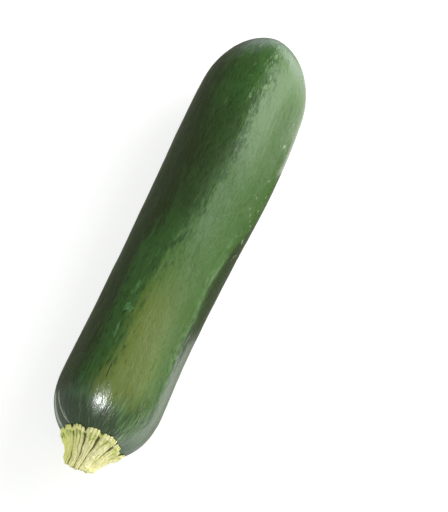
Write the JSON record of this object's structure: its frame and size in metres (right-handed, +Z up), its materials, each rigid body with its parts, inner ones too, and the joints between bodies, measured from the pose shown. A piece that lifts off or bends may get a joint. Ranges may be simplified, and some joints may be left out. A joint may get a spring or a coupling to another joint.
{
  "type": "zucchini",
  "caption": "Whole zucchini as picked, lying on its side: a long dark green fruit, slightly ridged and bent, with a short ribbed pale stem cut off at an angle.",
  "frame": {"origin": "middle of the bounding box in X and Y, on the surface that the zucchini lies on", "axes": "+X along the fruit from the stem to the blossom end, +Z up"},
  "size_m": [0.1998, 0.0454, 0.0445],
  "materials": {
    "fruit_skin": "waxy dark green skin with a soft sheen and fine lengthwise streaks",
    "stem_skin": "matte cream and yellow-green fibrous stem with darker grooves"
  },
  "bodies": {
    "root": {"fruit": "fruit_skin", "stem": "stem_skin"}
  },
  "joints": []
}
